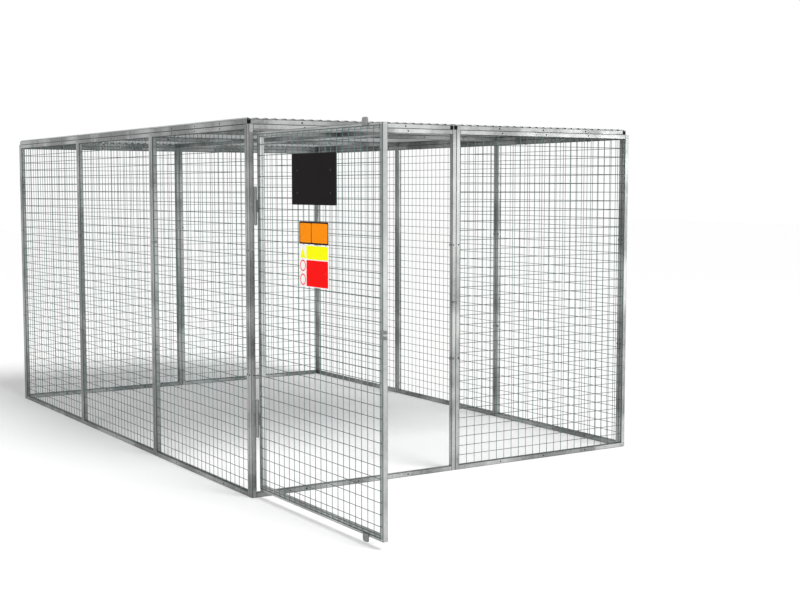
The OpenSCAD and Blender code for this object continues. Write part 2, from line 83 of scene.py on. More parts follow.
class Lead:
    """An output of a node. Sums of leads add Math nodes, and node() adds any other node."""

    def __init__(self, tree, socket=None):
        self.tree = tree
        self.socket = socket

    def node(self, kind, settings=None, inputs=None, output=0):
        """Adds a node, with its settings first and then its inputs' values or leads, and
        returns a lead on its output."""
        made = self.tree.nodes.new(kind)
        for name, value in (settings or {}).items():
            setattr(made, name, value)
        for name, value in (inputs or {}).items():
            if isinstance(value, Lead):
                self.tree.links.new(value.socket, made.inputs[name])
            else:
                made.inputs[name].default_value = value
        return Lead(self.tree, made.outputs[output] if made.outputs else None)

    def maths(self, operation, *others):
        """A Math node on this lead and the others."""
        values = dict(enumerate((self, *others)))
        return self.node("ShaderNodeMath", {"operation": operation}, values)

    def mix(self, low, high):
        """The colour low where this lead is 0, and high where it is 1."""
        return self.node("ShaderNodeMix", {"data_type": "RGBA"}, {0: self, 6: low, 7: high}, 2)

    def part(self, axis):
        """One coordinate of a vector."""
        return self.node("ShaderNodeSeparateXYZ", None, {0: self}, axis)

    def noise(self, scale, detail=2.0):
        """Cloudy noise at this lead's places, 0.5 on average."""
        return self.node("ShaderNodeTexNoise", None, {
            "Vector": self, "Scale": scale, "Detail": detail})

    def eased(self, low, high, top=1.0):
        """A soft rise from 0, where this lead is low, to top, where it is high."""
        return self.node("ShaderNodeMapRange", {"interpolation_type": "SMOOTHSTEP"}, {
            "Value": self, "From Min": low, "From Max": high, "To Max": top})

    def __add__(self, other):
        return self.maths("ADD", other)

    def __sub__(self, other):
        return self.maths("SUBTRACT", other)

    def __rsub__(self, other):
        return self.node("ShaderNodeMath", {"operation": "SUBTRACT"}, {0: other, 1: self})

    def __mul__(self, other):
        return self.maths("MULTIPLY", other)

    def __truediv__(self, other):
        return self.maths("DIVIDE", other)

    def __gt__(self, other):
        return self.maths("GREATER_THAN", other)

    def __lt__(self, other):
        return self.maths("LESS_THAN", other)

    __radd__ = __add__
    __rmul__ = __mul__


def bare_finish(name):
    """An empty material and a lead into its tree."""
    material = bpy.data.materials.new(name)
    material.use_nodes = True
    material.node_tree.nodes.clear()
    return material, Lead(material.node_tree)


def close_finish(start, look, height, depth, strength=0.6):
    """Ends a material: a shader with this look and a fine relief of this height."""
    relief = start.node("ShaderNodeBump", None, {
        "Height": height, "Distance": depth, "Strength": strength}, "Normal")
    skin = start.node("ShaderNodeBsdfPrincipled", None, {**look, "Normal": relief})
    start.node("ShaderNodeOutputMaterial", None, {"Surface": skin})


def galvanised(name, dark, light, roughness, metallic, grid=None):
    """Hot-dip zinc: crystals of slightly different grey, cloudy patches and runs down the
    metal. With a grid of the tubes' places, as a start and a step along each axis, it has a
    painted dark reflection on their rounded edges, and painted shade, nearly black, inside them."""
    material, start = bare_finish(name)
    place = start.node("ShaderNodeTexCoord", output="Object")
    crystals = place.node("ShaderNodeTexVoronoi", None, {
        "Vector": place, "Scale": 1 / CRYSTAL}, "Color").part("X")
    shifted = place.node("ShaderNodeMapping", None, {"Vector": place, "Location": CLOUDS_FROM})
    patches = shifted.noise(3.1, 3.0).eased(0.40, 0.62)
    stretched = place.node("ShaderNodeMapping", None, {"Vector": place, "Scale": RUN_STRETCH})
    runs = stretched.noise(1.0)
    grit = place.noise(420.0)
    tone = 0.22 * crystals + 0.60 * patches + 0.38 * runs + 0.14 * grit - 0.18
    colour = tone.maths("MAXIMUM", 0.0).maths("MINIMUM", 1.0).mix(dark, light)
    if grid:
        facing = start.node("ShaderNodeNewGeometry", output="Normal")
        facing = facing.node("ShaderNodeVectorTransform", {
            "vector_type": "NORMAL", "convert_from": "WORLD", "convert_to": "OBJECT"}, {0: facing})
        facing = facing.node("ShaderNodeVectorMath", {"operation": "ABSOLUTE"}, {0: facing})
        x, y, z = (facing.part(axis) for axis in "XYZ")
        flat = x.maths("MAXIMUM", y).maths("MAXIMUM", z)
        # Painted dark reflection along the tubes' rounded edges, where the normal is not square on.
        colour = (EDGE_SHADE * (flat < FLAT_FROM)).mix(colour, PAINTED_EDGE_REFLECTION)
        # Painted shade: the tubes' inner walls are made nearly black and not metallic.
        inside = 0.0
        for axis, square_on, (first, step) in zip("XYZ", (x, y, z), grid):
            depth = (place.part(axis) - first).maths("PINGPONG", step / 2)
            hollow = (depth > INSIDE_FROM) * (depth < TUBE - INSIDE_FROM)
            inside = (square_on > SQUARE_FROM) * hollow + inside
        colour = inside.mix(colour, PAINTED_TUBE_SHADE)
        metallic = metallic * (1 - inside)
    close_finish(start, {
        "Base Color": colour, "Roughness": roughness + 0.10 * crystals + 0.14 * (runs - 0.5),
        "Metallic": metallic}, height=0.5 * grit + 0.35 * crystals, depth=0.0003)
    return material


def tube_grid(*names):
    """Where tubes' edges repeat, as a start and a step along X, Y and Z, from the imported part
    that fills one bay along each. Across a flat frame the step is made longer than a tube."""
    spans = [(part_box(name)[0][i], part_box(name)[1][i]) for i, name in enumerate(names)]
    return [(low, max(high - low, LEAST_STEP)) for low, high in spans]


def coat(node, material):
    """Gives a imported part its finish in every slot."""
    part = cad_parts[node]
    if not part.material_slots:
        part.data.materials.append(material)
    for place in part.material_slots:
        place.link = "OBJECT"
        place.material = material


tube_zinc = galvanised("galvanised_tube", ZINC_DARK, ZINC_LIGHT, ZINC_ROUGHNESS, ZINC_METAL,
                       tube_grid("front_frame", "left_frame_2", "front_frame"))
for name in FRAME_NODES:
    coat(name, tube_zinc)

# Corner welds of the frames
# Each rail end is welded to its post by hand, across both flat faces and in the inner
# corner. A bead is a row of overlapping ripples, about 3 mm wide, under a darker zinc. On the
# outermost faces the beads are ground flat.
BEAD = 0.0032
RIPPLE = 0.0019
BEAD_SUNK = 0.0011
SEAM_END = 0.1
GROUND = 0.05
BEAD_DARK = (0.06, 0.07, 0.063, 1)
BEAD_LIGHT = (0.17, 0.185, 0.175, 1)


def grow(tree, name, sizes, base=None):
    """Runs a Geometry Nodes tree with these sizes and returns its result as a plain mesh."""
    seed = bpy.data.objects.new(name + "_seed", base or bpy.data.meshes.new(name + "_seed"))
    scene.collection.objects.link(seed)
    grower = seed.modifiers.new("grow", "NODES")
    grower.node_group = tree
    for socket in tree.interface.items_tree:
        if socket.in_out == "INPUT" and socket.name in sizes:
            grower[socket.identifier] = sizes[socket.name]
    bpy.context.view_layer.update()
    result = bpy.data.meshes.new_from_object(
        seed.evaluated_get(bpy.context.evaluated_depsgraph_get()))
    seed.modifiers.remove(grower)
    bpy.data.objects.remove(seed)
    result.name = name
    piece = bpy.data.objects.new(name, result)
    scene.collection.objects.link(piece)
    return piece


def new_tree(name, sizes):
    """An empty Geometry Nodes tree with named inputs, and a function that gives each as a lead."""
    tree = bpy.data.node_groups.new(name, "GeometryNodeTree")
    tree.interface.new_socket("Geometry", in_out="OUTPUT", socket_type="NodeSocketGeometry")
    for size, kind in sizes.items():
        tree.interface.new_socket(size, in_out="INPUT", socket_type="NodeSocket" + kind)
    start = Lead(tree)
    return tree, lambda size: start.node("NodeGroupInput", output=size)


def close_tree(shape, material):
    """Ends a tree: instances made real, one material, out."""
    real = shape.node("GeometryNodeRealizeInstances", None, {0: shape})
    coated = real.node("GeometryNodeSetMaterial", None, {"Geometry": real, "Material": material})
    coated.node("NodeGroupOutput", None, {0: coated})


def bead_tree():
    """Ripples along every edge of the base mesh."""
    tree, given = new_tree("weld_bead", {
        "Geometry": "Geometry", "Bead": "Float", "Ripple": "Float", "Material": "Material"})
    seam = given("Geometry").node("GeometryNodeMeshToCurve", None, {"Mesh": given("Geometry")})
    steps = seam.node("GeometryNodeResampleCurve", {"mode": "LENGTH"}, {
        "Curve": seam, "Length": given("Ripple")})
    drop = steps.node("GeometryNodeMeshIcoSphere", None, {
        "Radius": given("Bead") * 0.5, "Subdivisions": 2})
    drop = drop.node("GeometryNodeSetShadeSmooth", None, {0: drop})
    ripples = steps.node("GeometryNodeInstanceOnPoints", None, {"Points": steps, "Instance": drop})
    close_tree(ripples, given("Material"))
    return tree


def corner_seams(node):
    """End points of the seams of one welded frame, its uprights along its own long way."""
    low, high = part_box(node)
    thin = min(range(3), key=lambda i: high[i] - low[i])
    post_way = 1 if thin == 2 else 2
    rail_way = 3 - thin - post_way

    def point(joint, along, across):
        made = Vector((0, 0, 0))
        made[rail_way], made[post_way], made[thin] = joint, along, across
        return made

    seams = []
    for joint in (low[rail_way] + TUBE, high[rail_way] - TUBE):
        for outer, inner in ((low[post_way], low[post_way] + TUBE),
                             (high[post_way], high[post_way] - TUBE)):
            begin = outer + (inner - outer) * SEAM_END
            for face in (low[thin] + BEAD_SUNK, high[thin] - BEAD_SUNK):
                seams.append((point(joint, begin, face), point(joint, inner, face)))
            seams.append((point(joint, inner, low[thin] + SEAM_END * TUBE),
                          point(joint, inner, high[thin] - SEAM_END * TUBE)))
    return seams


def welded(name, seams, body):
    """One piece holding the beads of all these seams."""
    lines = bpy.data.meshes.new(name + "_lines")
    lines.from_pydata([p for ends in seams for p in ends],
                      [(2 * i, 2 * i + 1) for i in range(len(seams))], [])
    piece = grow(BEAD_TREE, name, {"Bead": BEAD, "Ripple": RIPPLE, "Material": bead_zinc}, lines)
    for vert in piece.data.vertices:
        for i in range(3):
            face = min(max(vert.co[i], cad_low[i]), cad_high[i])
            vert.co[i] = face + GROUND * (vert.co[i] - face)
    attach(piece, body)


BEAD_TREE = bead_tree()
bead_zinc = galvanised("galvanised_weld", BEAD_DARK, BEAD_LIGHT, roughness=0.45, metallic=0.6)
welded("wall_welds", [s for n in FRAME_NODES if "roof" not in n for s in corner_seams(n)], "cage")
welded("roof_welds", [s for n in FRAME_NODES if "roof" in n for s in corner_seams(n)], "cage")

# Weldmesh of the walls
# Sheets of 3 mm round wire on a 50 mm pitch, the upright wires outside, every crossing
# resistance-welded. A sheet fills its frame. Its zinc is thin, and the cross wires are
# painted darker, as a painted reflection.
WIRE = 0.003
PITCH = 0.050
SUNK = 0.0003
FLASH = 0.62
WALL_MESH_TURNS = {"left": -90, "right": 90, "back": 180, "front": 0}
UPRIGHT_WIRE = (0.188, 0.312, 0.294, 1)
UPRIGHT_DULL = (0.11, 0.185, 0.17, 1)
# The cross wires' colours are the same zinc, darkened as a painted reflection.
CROSS_WIRE_PAINTED_REFLECTION = (0.071, 0.107, 0.101, 1)
CROSS_DULL_PAINTED_REFLECTION = (0.04, 0.06, 0.056, 1)


def wire_zinc():
    """Zinc on drawn wire. The cross wires are the same zinc, painted darker as a painted reflection.
    """
    material, start = bare_finish("galvanised_wire")
    place = start.node("ShaderNodeTexCoord", output="Object")
    cross = start.node("ShaderNodeAttribute", {"attribute_name": "cross_wire"}, None, "Fac")
    # The darker cross-wire colours are a painted reflection, not a different zinc.
    clean = cross.mix(UPRIGHT_WIRE, CROSS_WIRE_PAINTED_REFLECTION)
    dull = cross.mix(UPRIGHT_DULL, CROSS_DULL_PAINTED_REFLECTION)
    grain = place.noise(600.0)
    close_finish(start, {
        "Base Color": (0.9 * place.noise(7.0, 3.0) + 0.3 * grain - 0.15).mix(dull, clean),
        "Roughness": 0.36 + 0.2 * grain, "Metallic": 0.55}, height=grain, depth=0.0001)
    return material


def weldmesh_tree():
    """Upright wires, cross wires behind them, and a bead of weld flash at every crossing."""
    tree, given = new_tree("weldmesh", {
        "Width": "Float", "Height": "Float", "Wire": "Float", "Sunk": "Float",
        "Gaps across": "Int", "Gaps up": "Int", "Material": "Material"})
    wire, width, height = given("Wire"), given("Width"), given("Height")
    back = wire * 1.5 - given("Sunk")

    def vector(x, y, z):
        return wire.node("ShaderNodeCombineXYZ", None, {"X": x, "Y": y, "Z": z})

    def row(gaps, start, step, run, turn, cross):
        line = wire.node("GeometryNodeMeshLine", {"mode": "OFFSET"}, {
            "Count": gaps + 1, "Start Location": start, "Offset": step})
        rod = wire.node("GeometryNodeMeshCylinder", None, {
            "Vertices": 8, "Radius": wire * 0.5, "Depth": run})
        rod = rod.node("GeometryNodeSetShadeSmooth", None, {0: rod})
        rod = rod.node("GeometryNodeTransform", None, {"Geometry": rod, "Rotation": turn})
        rod = rod.node("GeometryNodeStoreNamedAttribute", {
            "data_type": "FLOAT", "domain": "POINT"}, {
            "Geometry": rod, "Name": "cross_wire", "Value": cross})
        return rod.node("GeometryNodeInstanceOnPoints", None, {"Points": line, "Instance": rod})

    across_step = (width - wire) / given("Gaps across")
    up_step = (height - wire) / given("Gaps up")
    uprights = row(given("Gaps across"), vector(wire * 0.5, wire * 0.5, height * 0.5),
                   vector(across_step, 0.0, 0.0), height, (0, 0, 0), 0.0)
    crosses = row(given("Gaps up"), vector(width * 0.5, back, wire * 0.5),
                  vector(0.0, 0.0, up_step), width, (0, math.pi / 2, 0), 1.0)
    grid = wire.node("GeometryNodeMeshGrid", None, {
        "Size X": width - wire, "Size Y": height - wire,
        "Vertices X": given("Gaps across") + 1, "Vertices Y": given("Gaps up") + 1})
    crossings = grid.node("GeometryNodeTransform", None, {
        "Geometry": grid, "Rotation": (math.pi / 2, 0, 0),
        "Translation": vector(width * 0.5, wire - given("Sunk") * 0.5, height * 0.5)})
    blob = wire.node("GeometryNodeMeshIcoSphere", None, {
        "Radius": wire * FLASH, "Subdivisions": 1})
    flash = blob.node("GeometryNodeInstanceOnPoints", None, {
        "Points": crossings, "Instance": blob})
    joined = wire.node("GeometryNodeJoinGeometry")
    for part in (flash, crosses, uprights):
        tree.links.new(part.socket, joined.socket.node.inputs[0])
    close_tree(joined, given("Material"))
    return tree


def box_of(points):
    """The lowest and the highest corner of these points."""
    return (Vector([min(p[i] for p in points) for i in range(3)]),
            Vector([max(p[i] for p in points) for i in range(3)]))


def weldmesh(node, turn, body):
    """The round-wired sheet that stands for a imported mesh, turned about Z and set in its place."""
    low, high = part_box(node)
    run = 1 if abs(turn) == 90 else 0
    width, height = high[run] - low[run], high.z - low.z
    sheet = grow(MESH_TREE, node + "_wires", {
        "Width": width, "Height": height, "Wire": WIRE, "Sunk": SUNK,
        "Gaps across": round((width - WIRE) / PITCH), "Gaps up": round((height - WIRE) / PITCH),
        "Material": wire_finish})
    sheet.data.transform(Matrix.Rotation(math.radians(turn), 4, "Z"))
    place = low - box_of([vert.co for vert in sheet.data.vertices])[0]
    if turn in (90, 180):
        place[1 - run] += SUNK
    sheet.data.transform(Matrix.Translation(place))
    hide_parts(node)
    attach(sheet, body)


wire_finish = wire_zinc()
MESH_TREE = weldmesh_tree()
for name in sorted(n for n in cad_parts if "mesh" in n and n != "door_mesh"):
    weldmesh(name, WALL_MESH_TURNS[name.split("_")[0]], "cage")

# Roof sheets
# Corrugated steel, rolled from spangled galvanised coil, the corrugations front to back.
# Each sheet lies on its own frame, stops short of its neighbours and has folded edges.
CORRUGATIONS = 24
WAVE_STEPS = 12
WAVE_FLAT = 0.16
SHEET = 0.001
CREASE = 55
SPANGLE = 1 / 70
ROLLING_STRETCH = (220, 1.5, 1)
COIL_STEP = 3.7
SHEET_DARK = (0.30, 0.31, 0.315, 1)
SHEET_LIGHT = (0.60, 0.612, 0.618, 1)


def sheet_zinc():
    """Coil zinc: large crystals and faint rolling lines front to back, cut from another
    stretch of the coil for every sheet. The valleys are painted darker than the crests,
    as painted shade."""
    material, start = bare_finish("galvanised_sheet")
    place = start.node("ShaderNodeTexCoord", output="Object")
    valley, crest = (corner.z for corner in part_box("roof_sheet_left_1"))
    raised = (place.part("Z") - valley) / (crest - valley)
    coil = start.node("ShaderNodeAttribute", {"attribute_name": "coil"}, None, "Vector")
    place = start.node("ShaderNodeVectorMath", {"operation": "ADD"}, {0: place, 1: coil})
    crystals = place.node("ShaderNodeTexVoronoi", None, {
        "Vector": place, "Scale": 1 / SPANGLE}, "Color").part("X")
    patches = place.noise(4.0, 4.0).eased(0.36, 0.64)
    stretched = place.node("ShaderNodeMapping", None, {
        "Vector": place, "Scale": ROLLING_STRETCH})
    lines = stretched.noise(1.0)
    # The raised term is painted shade: the valleys come out darker than the crests.
    tone = 0.42 * crystals + 0.28 * patches + 0.4 * lines + 0.6 * raised - 0.38
    close_finish(start, {
        "Base Color": tone.mix(SHEET_DARK, SHEET_LIGHT),
        "Roughness": 0.24 + 0.16 * crystals + 0.08 * lines, "Metallic": 0.95},
        height=0.6 * crystals + 0.4 * lines, depth=0.0002)
    return material


def sheet_tree():
    """A flat grid raised into rounded crests and valleys, its two long edges folded down."""
    tree, given = new_tree("corrugated_sheet", {
        "Width": "Float", "Length": "Float", "Rise": "Float", "Gauge": "Float",
        "Corrugations": "Int", "Steps": "Int", "Material": "Material"})
    flat = given("Width").node("GeometryNodeMeshGrid", None, {
        "Size X": given("Width"), "Size Y": given("Length"),
        "Vertices X": given("Corrugations") * given("Steps") + 1, "Vertices Y": 5})
    across = flat.node("GeometryNodeInputPosition").part("X")
    turns = (across / given("Width") + 0.5) * given("Corrugations")
    swing = (turns.maths("FRACT") * 2 - 1).maths("ABSOLUTE")
    height = swing.eased(WAVE_FLAT, 1 - WAVE_FLAT, given("Rise"))
    pitch = given("Width") / given("Corrugations") / given("Steps")
    away = across.maths("ABSOLUTE") - given("Width") / 2
    edge = away + pitch * 0.5 > 0
    fold = away + pitch * 1.5 > 0
    shift = (fold * (1 - edge) * pitch - fold * given("Gauge")) * across.maths("SIGN")
    lift = height.node("ShaderNodeCombineXYZ", None, {"X": shift, "Z": height * (1 - edge)})
    raised = flat.node("GeometryNodeSetPosition", None, {"Geometry": flat, "Offset": lift})
    smooth = raised.node("GeometryNodeSetShadeSmooth", None, {0: raised})
    close_tree(smooth, given("Material"))
    return tree


def thickened(piece, thickness):
    """Gives a thin sheet its thickness outwards, as a plain mesh with crisp cut edges."""
    gauge = piece.modifiers.new("gauge", "SOLIDIFY")
    gauge.thickness = thickness
    gauge.offset = 1.0
    bpy.context.view_layer.update()
    solid = bpy.data.meshes.new_from_object(
        piece.evaluated_get(bpy.context.evaluated_depsgraph_get()))
    solid.set_sharp_from_angle(angle=math.radians(CREASE))
    piece.modifiers.remove(gauge)
    piece.data = solid


def roof_sheet(node, stretch):
    """The rolled sheet that stands for a packed one, cut this far along the coil."""
    low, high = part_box(node)
    sheet = grow(SHEET_TREE, node + "_rolled", {
        "Width": high.x - low.x, "Length": high.y - low.y, "Rise": high.z - low.z - SHEET,
        "Gauge": SHEET, "Corrugations": CORRUGATIONS, "Steps": WAVE_STEPS,
        "Material": sheet_finish})
    sheet.data.transform(Matrix.Translation(((low.x + high.x) / 2, (low.y + high.y) / 2, low.z)))
    coil = sheet.data.attributes.new("coil", "FLOAT", "POINT")
    for item in coil.data:
        item.value = stretch
    thickened(sheet, SHEET)
    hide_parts(node)
    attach(sheet, "cage")


sheet_finish = sheet_zinc()
SHEET_TREE = sheet_tree()
for count, name in enumerate(sorted(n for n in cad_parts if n.startswith("roof_sheet"))):
    roof_sheet(name, COIL_STEP * count)

# Bolts and nuts
# M8 hexagon bolts join neighbouring frames through their drilled posts and rails, some into
# weld nuts. They are bright zinc plated, chamfered, and threaded past the nut.
ACROSS_FLATS = 0.013
BOLT = 0.008
HEAD = 0.0053
HEAD_FACE = 0.93
HEAD_CHAMFER = ((0.0, 0.96), (0.0004, 1.03), (0.0008, 1.10))
HEAD_OUT = 0.6
NUT = 0.0065
CHAMFER = 0.0007
CHAMFERED = 0.95
CLEARANCE = 0.0003
TIP_CUT = 0.0008
THREAD = 0.00125
THREAD_DEEP = 0.0007
THREAD_TURNS = 10
THREADED = 0.0135
RUNOUT = 0.0005
SIDES = 24
BRIGHT_DARK = (0.22, 0.225, 0.215, 1)
BRIGHT_LIGHT = (0.40, 0.405, 0.39, 1)


def plated():
    """Thin bright zinc plate, slightly clouded."""
    material, start = bare_finish("zinc_plate")
    place = start.node("ShaderNodeTexCoord", output="Object")
    clouds = place.noise(90.0, 3.0)
    close_finish(start, {
        "Base Color": clouds.mix(BRIGHT_DARK, BRIGHT_LIGHT), "Roughness": 0.26 + 0.2 * clouds,
        "Metallic": 0.9}, height=place.noise(900.0), depth=0.0001)
    return material


def stacked_mesh(name, rows):
    """A closed mesh through rows of points, each row a ring, with a face at either end."""
    shape = bmesh.new()
    rings = [[shape.verts.new(point) for point in row] for row in rows]
    count = len(rings[0])
    for lower, upper in zip(rings, rings[1:]):
        for i in range(count):
            shape.faces.new((lower[i], lower[i - count + 1], upper[i - count + 1], upper[i]))
    shape.faces.new(reversed(rings[0]))
    shape.faces.new(rings[-1])
    bmesh.ops.recalc_face_normals(shape, faces=shape.faces)
    mesh = bpy.data.meshes.new(name)
    shape.to_mesh(mesh)
    shape.free()
    return mesh


def turned_mesh(name, rings):
    """A closed mesh of rings along Z. Each ring is its height and a radius for every angle."""
    angles = [2 * math.pi * i / SIDES for i in range(SIDES)]
    return stacked_mesh(name, [[(radius(a) * math.cos(a), radius(a) * math.sin(a), height)
                                for a in angles] for height, radius in rings])


def disc(radius):
    """The radius of a round ring."""
    return lambda angle: radius


def hexagon(reach=ACROSS_FLATS):
    """The radius of a six-sided ring with a corner on the X axis, turned down to this reach."""
    def side(angle):
        turned = (angle + math.pi / 6) % (math.pi / 3) - math.pi / 6
        return min(ACROSS_FLATS / 2 / math.cos(math.pi / 6 - abs(turned)), reach)
    return side


def bolt_mesh(shank):
    """Head below Z = 0, shank above it, the last turns threaded."""
    flat, round_shank = ACROSS_FLATS / 2, disc(BOLT / 2)
    rings = [(-HEAD, disc(flat * HEAD_FACE))]
    rings += [(-HEAD + up, hexagon(flat * reach)) for up, reach in HEAD_CHAMFER]
    rings += [(0.0, hexagon()), (0.0, round_shank), (shank - THREADED - RUNOUT, round_shank)]
    for i in range(THREAD_TURNS):
        root = shank - THREADED + i * THREAD
        rings += [(root, disc(BOLT / 2 - THREAD_DEEP)), (root + THREAD / 2, round_shank)]
    rings += [(shank, disc(BOLT / 2 - TIP_CUT))]
    return turned_mesh("bolt", rings)


def nut_mesh():
    """Full nut from Z = 0 up, both sides chamfered, round the bolt's shank."""
    bore, face = disc(BOLT / 2 + CLEARANCE), disc(ACROSS_FLATS / 2 * CHAMFERED)
    return turned_mesh("nut", [(0.0, bore), (0.0, face), (CHAMFER, hexagon()),
                               (NUT - CHAMFER, hexagon()), (NUT, face), (NUT, bore)])


def scatter_tree():
    """Sets the template on every point of the base mesh, turned as the point says."""
    tree, given = new_tree("set_in_place", {
        "Geometry": "Geometry", "Template": "Object", "Material": "Material"})
    shape = given("Template").node("GeometryNodeObjectInfo", None, {
        "Object": given("Template")}, "Geometry")
    turn = shape.node("GeometryNodeInputNamedAttribute", {"data_type": "FLOAT_VECTOR"}, {
        "Name": "turn"})
    turned = turn.node("FunctionNodeEulerToRotation", None, {0: turn})
    points = shape.node("GeometryNodeMeshToPoints", None, {"Mesh": given("Geometry")})
    placed = points.node("GeometryNodeInstanceOnPoints", None, {
        "Points": points, "Instance": shape, "Rotation": turned})
    close_tree(placed, given("Material"))
    return tree


def solids_of(node):
    """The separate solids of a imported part, each as a list of its points."""
    shape = bmesh.new()
    shape.from_mesh(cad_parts[node].data)
    bmesh.ops.remove_doubles(shape, verts=shape.verts, dist=1e-5)
    left = set(shape.verts)
    solids = []
    while left:
        reached = [left.pop()]
        solid = []
        while reached:
            vert = reached.pop()
            solid.append(vert.co.copy())
            for edge in vert.link_edges:
                other = edge.other_vert(vert)
                if other in left:
                    left.remove(other)
                    reached.append(other)
        solids.append(solid)
    shape.free()
    return solids


def set_in_place(node, ending, template_mesh, places, material, body):
    """One piece of many like items, each at a place and turn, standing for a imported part."""
    name = node + ending
    template = bpy.data.objects.new(name + "_template", template_mesh)
    points = bpy.data.meshes.new(name + "_points")
    points.from_pydata([place for place, turn in places], [], [])
    turns = points.attributes.new("turn", "FLOAT_VECTOR", "POINT")
    for item, (place, turn) in zip(turns.data, places):
        item.vector = turn.to_euler()
    piece = grow(SCATTER_TREE, name, {"Template": template, "Material": material}, points)
    bpy.data.objects.remove(template)
    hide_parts(node)
    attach(piece, body)


def unit(way):
    """A step of 1 along one axis."""
    ahead = Vector((0, 0, 0))
    ahead[way] = 1
    return ahead


def upright_turn(way, sign):
    """Turns Z to the given row axis, with a flat of the hexagon towards the wall's face."""
    ahead = sign * unit(way)
    flat = unit(1 if way == 0 else 0)
    return Matrix((flat.cross(ahead), flat, ahead)).transposed()


def fastener_places(node, headed):
    """Where each bolt's or nut's seat is, and how it is turned. The points of a bolt that are
    farther out than its shank show at which end its head is."""
    places = []
    for solid in solids_of(node):
        low, high = box_of(solid)
        size, centre = high - low, (low + high) / 2
        way = (max if headed else min)(range(3), key=lambda i: size[i])
        sign = 1
        seat = centre.copy()
        seat[way] = low[way]
        if headed:
            off_axis = [(p, p - centre - (p - centre)[way] * unit(way)) for p in solid]
            head = [p[way] for p, off in off_axis if off.length > BOLT * HEAD_OUT]
            sign = 1 if sum(head) / len(head) < centre[way] else -1
            seat[way] = (low[way] if sign > 0 else high[way]) + sign * HEAD
        places.append((seat, upright_turn(way, sign)))
    return places


def shank_length(node):
    """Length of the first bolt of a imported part, without its head."""
    low, high = box_of(solids_of(node)[0])
    return max(high - low) - HEAD


SCATTER_TREE = scatter_tree()
plate_finish = plated()
for name in ("panel_bolts", "corner_bolts", "roof_bolts", "seam_bolts"):
    set_in_place(name, "_detailed", bolt_mesh(shank_length(name)), fastener_places(name, True),
                 plate_finish, "cage")
for name in ("panel_nuts", "seam_nuts"):
    set_in_place(name, "_detailed", nut_mesh(), fastener_places(name, False),
                 plate_finish, "cage")
for name in ("corner_weld_nuts", "roof_weld_nuts"):
    set_in_place(name, "_detailed", nut_mesh(), fastener_places(name, False),
                 bead_zinc, "cage")

# Roof rivets
# Blind rivets pull each sheet down on the front and back rail of its frame. They are of
# bright plated steel, domed, and pulled tight in the valleys.
coat("roof_rivets", plate_finish)

# Tube plugs
# Moulded black inserts close the open tube ends. Each has a square face with softened
# edges, set just inside the wall of the tube, and a faint moulding grain.
PLUG = 0.0208
PLUG_LONG = 0.014
PLUG_SOFT = 0.0012
SOFT_MIDDLE = 0.3
PLUG_TAPER = 0.0006
TAPER_LONG = 0.0005
PLUG_DISH = 0.0006
DISH_FROM = 0.62
DISH_TO = 0.52
CORNER = 0.12
PLUG_BLACK = (0.004, 0.004, 0.004, 1)
PLUG_DUSTY = (0.013, 0.013, 0.013, 1)


def moulded_black():
    """Black plastic with a fine grain and a film of dust."""
    material, start = bare_finish("black_plastic")
    place = start.node("ShaderNodeTexCoord", output="Object")
    dust = place.noise(60.0, 4.0)
    close_finish(start, {
        "Base Color": dust.mix(PLUG_BLACK, PLUG_DUSTY), "Roughness": 0.5 + 0.2 * dust,
        "Specular IOR Level": 0.06}, height=place.noise(1500.0), depth=0.0001, strength=0.5)
    return material


def plug_mesh():
    """Square insert below Z = 0, its face soft-edged with a shallow dish."""
    half = PLUG / 2
    middle_soft = PLUG_SOFT * SOFT_MIDDLE
    levels = [(-PLUG_LONG, half - PLUG_TAPER), (TAPER_LONG - PLUG_LONG, half),
              (-PLUG_SOFT, half), (-middle_soft, half - middle_soft), (0.0, half - PLUG_SOFT),
              (0.0, half * DISH_FROM), (-PLUG_DISH, half * DISH_TO)]
    rows = []
    for height, reach in levels:
        soft = reach * CORNER
        middle = (reach - soft) * math.sqrt(2)
        row = []
        for quarter in (0, 90, 180, 270):
            corner = math.radians(quarter + 45)
            for angle in (math.radians(quarter + a) for a in (0, 30, 60, 90)):
                row.append((middle * math.cos(corner) + soft * math.cos(angle),
                            middle * math.sin(corner) + soft * math.sin(angle), height))
        rows.append(row)
    return stacked_mesh("plug", rows)


def plug_places(node, low_end, high_end):
    """The outer face of each plug and the way it looks, from the ends of the part it closes."""
    places = []
    for solid in solids_of(node):
        low, high = box_of(solid)
        size, face = high - low, (low + high) / 2
        way = min(range(3), key=lambda i: size[i])
        outward = 1 if face[way] > (low_end[way] + high_end[way]) / 2 else -1
        face[way] = high[way] if outward > 0 else low[way]
        places.append((face, upright_turn(way, outward)))
    return places


plug_finish = moulded_black()
for name, body in (("roof_plugs", "cage"), ("post_plugs", "cage"), ("door_plugs", "door")):
    ends = (cad_low, cad_high) if body == "cage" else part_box("door_frame")
    set_in_place(name, "_moulded", plug_mesh(), plug_places(name, *ends),
                 plug_finish, body)

# Door frame and its mesh
# The door is one more welded frame of the same tube, a little smaller than its bay and
# lighter in its zinc, with the weldmesh lapped on its outer face. It hangs 90 degrees open.
DOOR_DARK = (0.315, 0.326, 0.321, 1)
DOOR_LIGHT = (0.575, 0.588, 0.581, 1)
door_zinc = galvanised("galvanised_door", DOOR_DARK, DOOR_LIGHT, ZINC_ROUGHNESS, ZINC_METAL,
                       tube_grid("door_frame", "door_frame", "door_frame"))
coat("door_frame", door_zinc)
weldmesh("door_mesh", -90, "door")
welded("door_welds", corner_seams("door_frame"), "door")

